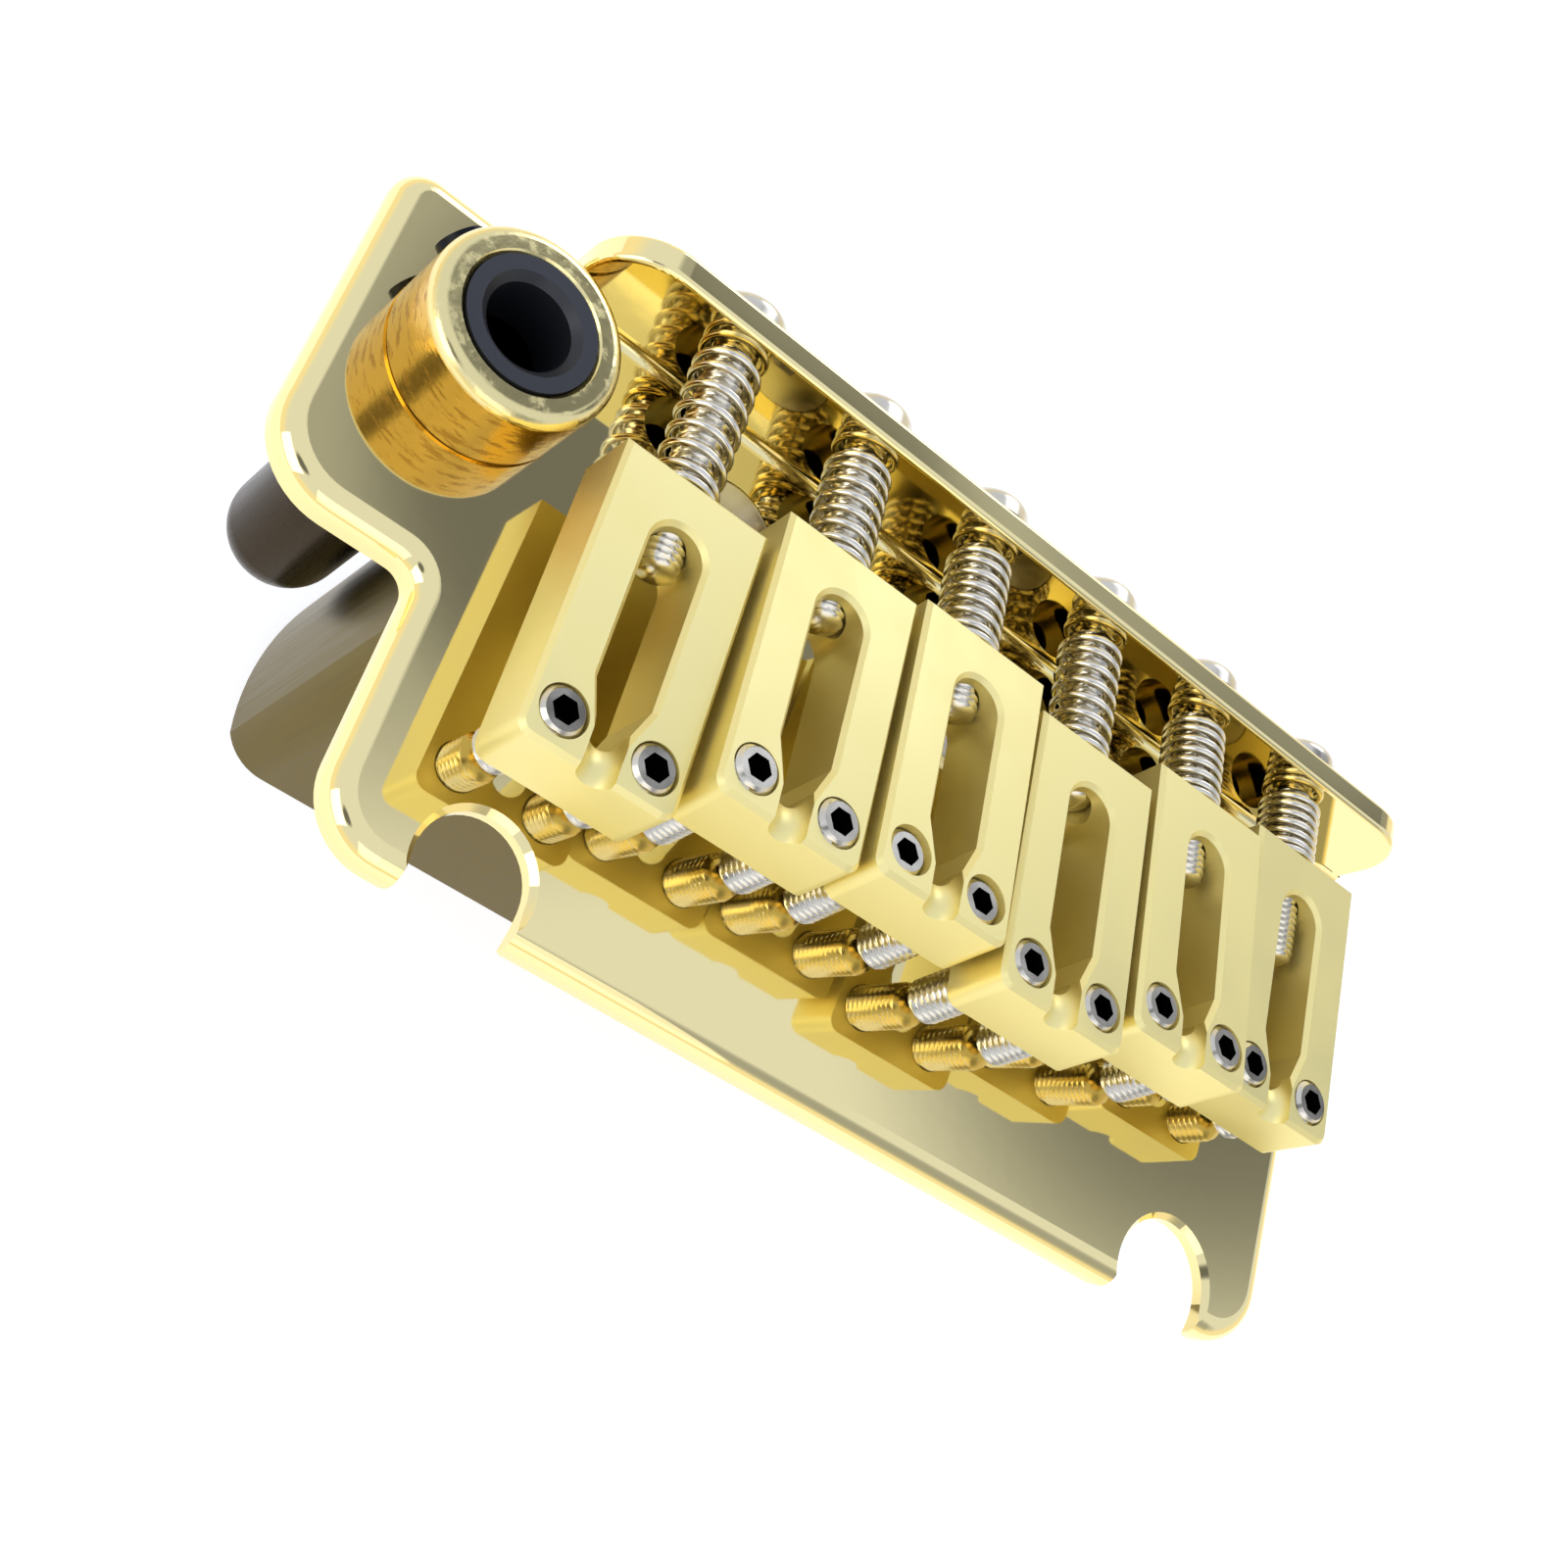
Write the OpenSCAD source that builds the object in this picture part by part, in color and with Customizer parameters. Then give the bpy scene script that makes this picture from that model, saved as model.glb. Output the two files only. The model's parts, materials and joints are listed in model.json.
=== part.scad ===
// Tremolo bridge of an electric guitar: a bent base plate that rocks on two studs,
// a brass block under it, six saddles with their screws and springs, and the socket
// that takes the tremolo arm.
// The origin is midway between the two studs, on the plate's top face.
// +X runs from the treble side to the bass side, +Y towards the strings' ball ends,
// +Z away from the guitar's body. All sizes are in millimetres.

/* [Strings] */
// Distance between neighbouring strings
string_spacing = 10.8; // [10:0.1:11.5]

/* [Pivot] */
// Distance between the two stud centres
stud_spacing = 56; // [52:0.5:60]
// Radius of the treble notch
treble_notch_r = 3.6; // [2.5:0.1:4.5]
// Radius of the bass notch
bass_notch_r = 4.1; // [2.5:0.1:4.5]
// Depth of both notches behind the plate's front edge
notch_depth = 6; // [5:0.5:8]
// Bevel round the top of each notch
notch_bevel = 0.4; // [0.1:0.1:0.8]
// Height of the upright wall between the top bevel and the relief below
knife_wall = 0.8; // [0.4:0.1:1.2]

/* [Base plate] */
// Width of the plate under the saddles
plate_w = 75; // [70:0.5:84]
// Thickness of the plate
plate_t = 2.2; // [1.8:0.1:3]
// Distance from the stud line forward to the plate's front edge
plate_front = 2.4; // [1:0.1:4]
// Radius of the two front corners, seen from above
plate_corner_r = 4.5; // [2:0.5:6]
// Radius that buffing leaves on the plate's top edges
plate_edge_r = 1.5; // [0.5:0.1:1.9]

/* [Wing] */
// How far the wing reaches past the plate on the treble side
wing_len = 11; // [9:0.5:14]
// Distance from the stud line back to the wing's front edge
wing_front = 14.3; // [10:0.1:18]
// Radius of the wing's front corner
wing_corner_r = 5.2; // [3:0.1:7]
// Radius of the wing's rear corner
wing_rear_r = 2.3; // [2:0.1:4]
// Fillet where the wing leaves the plate
wing_fillet = 1.5; // [0.5:0.1:3]

/* [Flange] */
// Distance from the stud line back to the flange's rear face
flange_back = 37.7; // [34:0.1:42]
// Thickness of the upturned flange
flange_t = 2.05; // [1.6:0.05:3]
// Height of the flange above the plate's top face
flange_h = 7.9; // [7:0.1:10]
// Radius of the flange's two top corners
flange_corner_r = 4.7; // [2:0.1:6]
// Radius that buffing leaves on the flange's edges
flange_edge_r = 0.4; // [0.2:0.05:0.8]
// Inside radius of the bend between plate and flange
bend_r = 0.8; // [0.4:0.1:1.5]
// Outside radius of the bend
bend_outer_r = 2; // [1:0.1:3]
// Height of the intonation screw holes above the plate
flange_hole_up = 4.3; // [3:0.1:5.5]
// Radius of each intonation screw hole
flange_hole_r = 1.8; // [1.7:0.05:2.2]

/* [Tremolo block] */
// Distance of the block's widest point inside each side edge of the plate
block_inset = 2.1; // [0.5:0.1:6]
// Depth of the block, front to rear
block_depth = 21.8; // [14:0.1:22]
// Height of the block under the plate
block_h = 34.8; // [28:0.1:42]
// Distance from the stud line back to the block's front face
block_front = 14.4; // [12:0.1:20]
// Radius of the block's two front corners
block_corner_r = 4; // [1:0.1:6]
// Radius of the swept ends behind the front corners
block_end_r = 18.7; // [16:0.1:30]
// Distance from the block's front face back to its widest point
block_swell_back = 6.5; // [5:0.1:10]
// Chamfer round the bottom of the ball bores
ball_bore_bevel = 0.4; // [0.2:0.1:0.8]

/* [Strings through the block] */
// Distance from the stud line back to the row of string holes
string_hole_back = 32.6; // [29:0.1:34]
// Radius of the wide holes in the plate over the string holes
plate_hole_r = 2.2; // [1.5:0.1:2.6]
// Radius of the string holes in the block
string_hole_r = 1.3; // [0.9:0.1:1.8]
// Radius of the bores that take the strings' ball ends
ball_bore_r = 2.2; // [2.1:0.1:2.6]
// Depth of these bores, from the block's bottom face
ball_bore_depth = 24; // [10:1:30]

/* [Tremolo spring holes] */
// Radius of the five holes that hold the spring hooks
spring_hole_r = 1.3; // [1:0.1:1.8]
// Depth of the spring holes
spring_hole_depth = 9; // [6:0.5:12]
// Distance between neighbouring spring holes
spring_hole_spacing = 11; // [10:0.5:12]
// Distance from the block's front face back to the spring holes
spring_hole_back = 4.5; // [3:0.5:8]

/* [Block screws] */
// Distance from the stud line back to the three block screws
block_screw_back = 28; // [24:0.1:29]
// Distance between neighbouring block screws
block_screw_spacing = 21.6; // [18:0.1:24]
// Radius of the countersunk head
block_head_r = 3.9; // [2.8:0.1:4]
// Radius of the block screw's shank
block_shank_r = 1.95; // [1.4:0.05:2.4]
// Length of a block screw, head included
block_screw_len = 14; // [10:0.5:20]
// Width across the flats of the socket in a block screw
block_key = 2.5; // [2:0.5:3]
// Depth of the hex socket in a block screw
block_key_depth = 1.6; // [1:0.1:2]

/* [Saddles] */
// Width of a saddle
saddle_w = 10.3; // [9.5:0.1:10.6]
// Length of a saddle
saddle_len = 20; // [16:0.1:22]
// Height of a saddle
saddle_h = 4.8; // [4.4:0.1:8]
// Radius of a saddle's front corners
saddle_corner_r = 0.9; // [0.5:0.1:1.2]
// Bevel along a saddle's top edges and its slot's rim
saddle_bevel = 0.3; // [0.1:0.05:0.4]
// Height of the intonation screw's hole above the saddle's underside
saddle_hole_up = 2.3; // [2:0.1:3]
// Width of the slot that the string runs through
slot_w = 3.75; // [3.4:0.05:4.4]
// Distance from the saddle's front to the slot's rear end
slot_back = 16.8; // [14:0.1:17]
// Distance from the saddle's front to the slot's front end
slot_front = 2.2; // [1.8:0.1:3]
// Width of the slot's narrow front end
slot_neck_w = 2.2; // [1.6:0.1:2.4]
// Distance from the saddle's front to where the slot starts to narrow
slot_taper_back = 5.4; // [4:0.1:8]
// Depth of the string groove's crest below the saddle's top
groove_depth = 0.95; // [0.5:0.05:1.5]
// Radius of the crest that the string bends over
groove_bend_r = 2; // [1.5:0.1:4]
// How much wider than the slot's front end the groove is, on each side
groove_side = 0.03; // [0.02:0.01:0.1]
// Distance of each saddle's front from its flange hole, treble to bass
saddle_reach = [32.2, 30.2, 29.5, 31, 28.5, 26.7]; // [24:0.1:34]
// Height of each saddle's top at the front, above the plate, treble to bass
saddle_front_up = [8.2, 10.2, 10.8, 10.4, 10.4, 8.1]; // [7:0.1:12]

/* [Height screws] */
// Radius of a height screw, over its thread
height_screw_r = 1.5; // [1.2:0.05:1.6]
// Distance of a height screw from the string's line
height_screw_side = 3; // [2.6:0.1:3.4]
// Distance of the height screws behind the saddle's front
height_screw_back = 2.35; // [2.2:0.05:3]
// Length of each string's height screws, treble to bass
height_screw_len = [8, 10, 10, 10, 10, 8]; // [6:1:12]
// Radius of the rounded foot
foot_r = 2.2; // [1.8:0.1:4]
// Gap left between the feet and the plate
foot_gap = 0.25; // [0.05:0.05:0.5]
// Width across the flats of the socket in a height screw
height_key = 1.5; // [1.3:0.1:1.5]
// Depth of the sockets in the height screws
height_key_depth = 1.6; // [1:0.1:2]

/* [Intonation screws] */
// Radius of an intonation screw, over its thread
intonation_r = 1.5; // [1.2:0.05:1.6]
// Length of each screw under its head, treble to bass
intonation_len = [19, 16, 16, 16, 16, 16]; // [12:1:25]
// Radius of the round head
intonation_head_r = 2.75; // [2.5:0.05:3.2]
// Height of the round head
intonation_head_h = 2; // [1.6:0.1:2.6]
// Radius of the flat on top of its head
intonation_flat_r = 1.65; // [1:0.05:2]
// Gap between a head and the flange where the tilt brings them closest
head_gap = 0.15; // [0.1:0.05:0.3]
// Length of each arm of the cross recess
cross_len = 3; // [2.4:0.1:3.4]
// Width of each arm of the cross recess
cross_w = 0.7; // [0.5:0.1:1]
// Depth of the cross recess
cross_depth = 1.2; // [0.8:0.1:1.5]

/* [Intonation springs] */
// Diameter of the spring wire
spring_wire = 0.5; // [0.4:0.05:0.6]
// Mean radius of the coils
spring_mean_r = 2; // [1.9:0.05:2.3]
// Number of coils in a spring with room for them all
spring_coils = 8; // [4:1:9]
// Least open space between neighbouring coils
coil_gap = 0.42; // [0.41:0.01:1]
// Gap between a spring and the faces it bears on
spring_seat_gap = 0.1; // [0.02:0.02:0.3]

/* [Arm socket] */
// Distance of the socket's axis beyond the plate's treble edge
arm_out = 2; // [1:0.1:4]
// Distance of the socket's axis behind the stud line
arm_back = 27.9; // [24:0.1:28.5]
// Radius of the arm that the bush takes, with its running clearance
bush_bore_r = 2.7; // [2.4:0.05:3.3]
// Outer radius of the bush
bush_r = 4.15; // [3.8:0.05:4.4]
// Height of the bush's lower end above the plate
bush_foot = 1.2; // [0.8:0.1:2]
// Bevel that leads the arm into the bush
bush_bevel = 0.5; // [0.2:0.1:0.8]
// Radius of the collar on the wing
collar_r = 6.1; // [5.8:0.1:6.6]
// Height of the collar's top above the plate
collar_top = 6; // [5.5:0.1:8]
// Radius of the collar's rounded top edge
collar_edge_r = 0.9; // [0.3:0.1:1.3]
// Bevel round the collar's foot and round its mouth
collar_bevel = 0.25; // [0.1:0.05:0.4]
// Outer radius of the tube that is screwed into the collar from below
tube_r = 4.15; // [3.6:0.05:4.2]
// Distance of the tube's rounded end below the plate's top face
tube_down = 32.2; // [26:0.1:36]
// Depth that the arm's end can reach below the plate's top face
arm_depth = 26; // [15:0.5:30]

/* [Arm set screw] */
// Radius of the set screw
set_screw_r = 1.5; // [1.2:0.05:1.6]
// Depth of the hex socket in the set screw
set_key_depth = 1.2; // [0.8:0.1:1.4]
// Height of the set screw above the plate
set_screw_up = 3; // [2.2:0.1:3.4]
// Direction of the set screw, in degrees from +X
set_screw_turn = 141; // [90:1:270]
// How far the set screw stands out of the collar
set_screw_out = 0.45; // [0:0.05:1]
// Gap between the set screw's tip and the bush
set_screw_gap = 0.3; // [0.1:0.05:0.4]

/* [Clearances] */
// Radial clearance of a screw or pin in its own hole
hole_gap = 0.05; // [0.02:0.01:0.1]
// Clearance round a countersunk head
sink_gap = 0.1; // [0.05:0.05:0.2]

/* [Hidden] */
$fn = 64;
eps = 0.01;
edge_over = 0.4;
wire_sides = 6;
coil_steps = 8;
gold = [0.83, 0.69, 0.32];
brass = [0.72, 0.62, 0.34];
steel = [0.78, 0.78, 0.80];
black = [0.08, 0.08, 0.09];

plate_half = plate_w / 2;
wing_end = plate_half + wing_len;
flange_front = flange_back - flange_t;
hinge_back = flange_back - flange_t / 2;
plate_under = -plate_t;
block_w = plate_w - 2 * block_inset;
block_under = plate_under - block_h;
arm_x = -plate_half - arm_out;
tube_bore_r = bush_bore_r + hole_gap;

// Each string's own line, and the tilt that lifts its saddle's front to its height
function string_x(k) = (k - 2.5) * string_spacing;
above_hole = saddle_h - saddle_hole_up;
function rise(k) = saddle_front_up[k] - flange_hole_up;
function reach_diag(k) = norm([saddle_reach[k], above_hole]);
function tilt(k) = asin(rise(k) / reach_diag(k)) - atan2(above_hole, saddle_reach[k]);
// Distance along the screw from the flange hole's middle to the height screws
function foot_run(k) = saddle_reach[k] - height_screw_back;
// Level of the foot's lowest point in the saddle's own tilted frame
function foot_level(k) =
    (foot_gap + foot_r - flange_hole_up - foot_run(k) * sin(tilt(k))) / cos(tilt(k)) - foot_r;
// Half of the flange's thickness along a tilted screw, and what a round seat adds
function flange_half(k, r) = flange_t / 2 / cos(tilt(k)) + r * tan(abs(tilt(k)));
function spring_start(k) = flange_half(k, spring_mean_r + spring_wire / 2) + spring_seat_gap;
function spring_room(k) =
    saddle_reach[k] - saddle_len - spring_start(k) - spring_seat_gap;

// Places children in the tilted frame of string k: the origin is the middle of the
// flange hole, -Y points along the intonation screw towards the saddle
module on_string(k) {
    translate([string_x(k), hinge_back, flange_hole_up]) rotate([-tilt(k), 0, 0]) children();
}

module on_arm_axis(turn = 0, up = 0) {
    translate([arm_x, arm_back, up]) rotate([0, 0, turn]) children();
}

// What rounding takes off an edge: the outside is at +X and the top at +Y
module edge_profile(e) {
    difference() {
        translate([-e, -e]) square(e + edge_over);
        translate([-e, -e]) circle(e);
    }
}

// Rounds a straight edge from a to b that has its outside on the left
module straight_edge(a, b, e) {
    translate([a[0], a[1], 0]) rotate([0, 0, atan2(b[1] - a[1], b[0] - a[0])])
        rotate([90, 0, 90]) linear_extrude(norm(b - a)) edge_profile(e);
}

// Rounds the edge of a quarter turn; hollow is for an inside corner
module turned_edge(middle, r, start, e, hollow = false) {
    translate([middle[0], middle[1], 0]) rotate([0, 0, start]) rotate_extrude(angle = 90)
        translate([r, 0]) mirror([hollow ? 1 : 0, 0]) edge_profile(e);
}

// Base plate

module plate_edges() {
    e = plate_edge_r;
    r = plate_corner_r;
    straight_edge([plate_half - r, -plate_front], [r - plate_half, -plate_front], e);
    turned_edge([r - plate_half, r - plate_front], r, 180, e);
    straight_edge([-plate_half, r - plate_front], [-plate_half, wing_front - wing_fillet], e);
    turned_edge([-plate_half - wing_fillet, wing_front - wing_fillet], wing_fillet, 0, e, true);
    straight_edge([-plate_half - wing_fillet, wing_front], [wing_corner_r - wing_end, wing_front], e);
    turned_edge([wing_corner_r - wing_end, wing_front + wing_corner_r], wing_corner_r, 180, e);
    straight_edge([-wing_end, wing_front + wing_corner_r], [-wing_end, flange_back - wing_rear_r], e);
    turned_edge([wing_rear_r - wing_end, flange_back - wing_rear_r], wing_rear_r, 90, e);
    straight_edge([wing_rear_r - wing_end, flange_back], [-plate_half, flange_back], e);
    straight_edge([plate_half, flange_front - bend_r], [plate_half, r - plate_front], e);
    turned_edge([plate_half - r, r - plate_front], r, 270, e);
}

module flange_edges() {
    e = flange_edge_r;
    r = flange_corner_r;
    for (face = [0, 1]) translate([0, hinge_back, 0]) mirror([0, face, 0])
        translate([0, -flange_t / 2, 0]) rotate([90, 0, 0]) {
            straight_edge([r - plate_half, flange_h], [plate_half - r, flange_h], e);
            turned_edge([plate_half - r, flange_h - r], r, 0, e);
            turned_edge([r - plate_half, flange_h - r], r, 90, e);
            straight_edge([plate_half, flange_h - r], [plate_half, bend_r], e);
            straight_edge([-plate_half, bend_r], [-plate_half, flange_h - r], e);
        }
}

module plate_outline() {
    depth = flange_back + plate_front;
    r = plate_corner_r;
    // Main part with rounded front corners
    translate([-plate_half, r - plate_front]) square([plate_w, depth - r]);
    translate([r - plate_half, -plate_front]) square([plate_w - 2 * r, r + eps]);
    for (s = [-1, 1]) translate([s * (plate_half - r), r - plate_front]) circle(r);
    // Wing that carries the arm socket
    translate([-wing_end + wing_corner_r, wing_front])
        square([wing_len - wing_corner_r + r, flange_back - wing_front]);
    translate([-wing_end, wing_front + wing_corner_r])
        square([wing_corner_r + eps, flange_back - wing_front - wing_corner_r - wing_rear_r]);
    translate([-wing_end + wing_rear_r, flange_back - 2 * wing_rear_r])
        square([wing_corner_r, 2 * wing_rear_r]);
    translate([-wing_end + wing_corner_r, wing_front + wing_corner_r]) circle(wing_corner_r);
    translate([-wing_end + wing_rear_r, flange_back - wing_rear_r]) circle(wing_rear_r);
    // Fillet between the plate's treble edge and the wing
    difference() {
        translate([-plate_half - wing_fillet, wing_front - wing_fillet])
            square([wing_fillet + eps, wing_fillet + eps]);
        translate([-plate_half - wing_fillet, wing_front - wing_fillet]) circle(wing_fillet);
    }
}

module notch(x, r) {
    y = notch_depth - plate_front - r;
    relief = plate_t - notch_bevel - knife_wall;
    translate([x, y, 0]) {
        translate([0, 0, -plate_t - 1]) cylinder(r = r, h = plate_t + 2);
        translate([-r, -notch_depth - 1, -plate_t - 1]) cube([2 * r, notch_depth + 1, plate_t + 2]);
        // Bevel at the top and relief underneath
        translate([0, 0, -notch_bevel])
            cylinder(r1 = r, r2 = r + notch_bevel + eps, h = notch_bevel + eps);
        translate([0, 0, plate_under - eps])
            cylinder(r1 = r + relief + eps, r2 = r, h = relief + eps);
    }
}

module flange() {
    r = flange_corner_r;
    translate([0, flange_back, 0]) rotate([90, 0, 0]) linear_extrude(flange_t) {
        translate([-plate_half, plate_under]) square([plate_w, flange_h + plate_t - r]);
        translate([-plate_half + r, plate_under]) square([plate_w - 2 * r, flange_h + plate_t]);
        for (s = [-1, 1]) translate([s * (plate_half - r), flange_h - r]) circle(r);
    }
    // Inside of the bend
    translate([-plate_half, flange_front, 0]) rotate([90, 0, 90]) linear_extrude(plate_w)
        difference() {
            translate([-bend_r, -eps]) square([bend_r + eps, bend_r + eps]);
            translate([-bend_r, bend_r]) circle(bend_r);
        }
}

module base_plate() {
    color(gold) difference() {
        union() {
            translate([0, 0, plate_under]) linear_extrude(plate_t) plate_outline();
            flange();
        }
        // Rounded outside of the bend
        translate([-plate_half, flange_back, plate_under]) rotate([90, 0, 90])
            linear_extrude(plate_w + 1) difference() {
                translate([-bend_outer_r, -1]) square([bend_outer_r + 1, bend_outer_r + 1]);
                translate([-bend_outer_r, bend_outer_r]) circle(bend_outer_r);
            }
        plate_edges();
        flange_edges();
        notch(-stud_spacing / 2, treble_notch_r);
        notch(stud_spacing / 2, bass_notch_r);
        for (k = [0:5]) {
            translate([string_x(k), string_hole_back, plate_under - 1])
                cylinder(r = plate_hole_r, h = plate_t + 2);
            translate([string_x(k), flange_front - 1, flange_hole_up]) rotate([-90, 0, 0])
                cylinder(r = flange_hole_r, h = flange_t + 2);
        }
        for (i = [-1, 0, 1]) translate([i * block_screw_spacing, block_screw_back, 0]) {
            translate([0, 0, plate_under - 1]) cylinder(r = block_shank_r + hole_gap, h = plate_t + 2);
            block_head(sink_gap);
        }
        on_arm_axis(0, plate_under - 1) cylinder(r = tube_r + hole_gap, h = plate_t + 2);
    }
}

// Tremolo block

module block_outline() {
    w = block_w / 2;
    mid = w - block_end_r;
    r = block_corner_r;
    difference() {
        intersection() {
            translate([-w - 1, block_front]) square([block_w + 2, block_depth]);
            union() {
                translate([-mid, block_front - 1]) square([2 * mid, block_depth + 2]);
                for (s = [-1, 1])
                    translate([s * mid, block_front + block_swell_back]) circle(block_end_r);
            }
        }
        for (s = [-1, 1]) difference() {
            translate([s * (w - r / 2 + 0.5) - r / 2 - 0.5, block_front - 1])
                square([r + 1, r + 1]);
            translate([s * (w - r), block_front + r]) circle(r);
        }
    }
}

module tremolo_block() {
    color(brass) difference() {
        translate([0, 0, block_under]) linear_extrude(block_h) block_outline();
        for (k = [0:5]) translate([string_x(k), string_hole_back, 0]) {
            translate([0, 0, block_under - 1]) cylinder(r = string_hole_r, h = block_h + 2);
            translate([0, 0, block_under - 1]) cylinder(r = ball_bore_r, h = ball_bore_depth + 1);
            translate([0, 0, block_under - eps])
                cylinder(r1 = ball_bore_r + ball_bore_bevel, r2 = ball_bore_r, h = ball_bore_bevel);
        }
        for (i = [-2:2])
            translate([i * spring_hole_spacing, block_front + spring_hole_back, block_under - 1])
                cylinder(r = spring_hole_r, h = spring_hole_depth + 1);
        for (i = [-1, 0, 1])
            translate([i * block_screw_spacing, block_screw_back, -block_screw_len - 1])
                cylinder(r = block_shank_r + hole_gap, h = block_screw_len + 1);
    }
}

module block_head(gap = 0) {
    r = block_head_r + gap;
    drop = block_head_r - block_shank_r;
    translate([0, 0, -drop - gap * (gap > 0 ? 1 : 0)])
        cylinder(r1 = block_shank_r + gap, r2 = r, h = drop);
    if (gap > 0) translate([0, 0, -gap - eps]) cylinder(r = r, h = gap + 1);
}

module block_screws() {
    color(steel) for (i = [-1, 0, 1])
        translate([i * block_screw_spacing, block_screw_back, -sink_gap / 2]) difference() {
            union() {
                block_head();
                translate([0, 0, -block_screw_len])
                    cylinder(r = block_shank_r, h = block_screw_len - 1);
            }
            translate([0, 0, -block_key_depth])
                cylinder(d = block_key / cos(30), h = block_key_depth + 1, $fn = 6);
        }
}

// Arm socket

module arm_tube() {
    end = tube_down - tube_r;
    color(brass) on_arm_axis() difference() {
        union() {
            translate([0, 0, -end]) cylinder(r = tube_r, h = end + bush_foot);
            translate([0, 0, -end]) sphere(tube_r);
        }
        translate([0, 0, -arm_depth]) cylinder(r = tube_bore_r, h = arm_depth + bush_foot + 1);
    }
}

module arm_collar() {
    e = collar_edge_r;
    bore = bush_r + hole_gap;
    color(gold) on_arm_axis() difference() {
        union() {
            cylinder(r1 = collar_r - collar_bevel, r2 = collar_r, h = collar_bevel);
            translate([0, 0, collar_bevel])
                cylinder(r = collar_r, h = collar_top - e - collar_bevel);
            cylinder(r = collar_r - e, h = collar_top);
            translate([0, 0, collar_top - e])
                rotate_extrude() translate([collar_r - e, 0]) circle(e);
        }
        translate([0, 0, -1]) cylinder(r = bore, h = collar_top + 2);
        translate([0, 0, collar_top - collar_bevel])
            cylinder(r1 = bore, r2 = bore + collar_bevel + eps, h = collar_bevel + eps);
        translate([0, 0, set_screw_up]) rotate([0, 90, set_screw_turn])
            cylinder(r = set_screw_r + hole_gap, h = collar_r + 1);
    }
}

module arm_bush() {
    h = collar_top - bush_foot;
    color(black) on_arm_axis(0, bush_foot) difference() {
        cylinder(r = bush_r, h = h);
        translate([0, 0, -1]) cylinder(r = bush_bore_r, h = h + 2);
        translate([0, 0, h - bush_bevel])
            cylinder(r1 = bush_bore_r, r2 = bush_bore_r + bush_bevel + eps, h = bush_bevel + eps);
    }
}

module arm_set_screw() {
    tip = bush_r + set_screw_gap;
    len = collar_r + set_screw_out - tip;
    color(black) on_arm_axis(set_screw_turn, set_screw_up) translate([tip, 0, 0])
        rotate([0, 90, 0]) difference() {
            cylinder(r = set_screw_r, h = len);
            translate([0, 0, len - set_key_depth])
                cylinder(d = height_key / cos(30), h = set_key_depth + 1, $fn = 6);
        }
}

// Saddles

module saddle_plan() {
    w = saddle_w / 2;
    r = saddle_corner_r;
    translate([-w, r]) square([saddle_w, saddle_len - r]);
    translate([r - w, 0]) square([saddle_w - 2 * r, r + eps]);
    for (s = [-1, 1]) translate([s * (w - r), r]) circle(r);
}

module slot_plan() {
    r = slot_w / 2;
    n = slot_neck_w / 2;
    translate([-r, slot_taper_back]) square([slot_w, slot_back - r - slot_taper_back]);
    translate([0, slot_back - r]) circle(r);
    polygon([
        [-n, slot_front + n], [n, slot_front + n],
        [r, slot_taper_back + eps], [-r, slot_taper_back + eps]
    ]);
    translate([0, slot_front + n]) circle(n);
}

// Tool that cuts the string groove: a round-bottomed trough that bends over the front web
module groove_cutter() {
    r = slot_neck_w / 2 + groove_side;
    rotate([0, 90, 0]) rotate([0, 0, 90]) rotate_extrude(angle = 180) {
        translate([groove_bend_r + r, 0]) circle(r);
        translate([groove_bend_r + r, -r]) square([groove_depth + r, 2 * r]);
    }
}

// Bevels a straight edge from a to b
module bevelled_edge(a, b) {
    side = saddle_bevel * sqrt(2);
    translate([a[0], a[1], 0]) rotate([0, 0, atan2(b[1] - a[1], b[0] - a[0])]) rotate([45, 0, 0])
        translate([0, -side / 2, -side / 2]) cube([norm(b - a), side, side]);
}

// Half of the slot's rim bevel, cut across: it slopes out from the slot's middle to its wall
module rim_profile() {
    w = slot_w / 2;
    c = saddle_bevel;
    polygon([[0, -2 * c], [w - c, -2 * c], [w + 2 * c, c], [0, c]]);
}

module slot_rim() {
    n = slot_neck_w / 2;
    middle = slot_back - slot_w / 2;
    taper = atan((slot_w / 2 - n) / (slot_taper_back - slot_front - n));
    translate([0, middle, 0]) rotate_extrude(angle = 180) rim_profile();
    intersection() {
        translate([0, middle, 0]) rotate([90, 0, 0]) linear_extrude(middle - slot_front) {
            rim_profile();
            mirror([1, 0]) rim_profile();
        }
        intersection_for (s = [0, 1]) mirror([s, 0, 0])
            translate([slot_w / 2, slot_taper_back, -saddle_bevel]) rotate([0, 0, -taper])
                rotate([0, 45, 0]) translate([-saddle_len, -saddle_len, -saddle_len / 2])
                    cube([saddle_len, 2 * saddle_len, saddle_len]);
    }
}

module saddle_bevels() {
    w = saddle_w / 2;
    r = saddle_corner_r;
    bevelled_edge([r - w, 0], [w - r, 0]);
    bevelled_edge([-w, saddle_len], [w, saddle_len]);
    for (s = [-1, 1]) {
        bevelled_edge([s * w, r], [s * w, saddle_len]);
        translate([s * (w - r), r, 0]) rotate([0, 0, s > 0 ? 270 : 180])
            rotate_extrude(angle = 90) translate([r, 0]) rotate(45)
                square(saddle_bevel * sqrt(2), center = true);
    }
    slot_rim();
}

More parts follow.
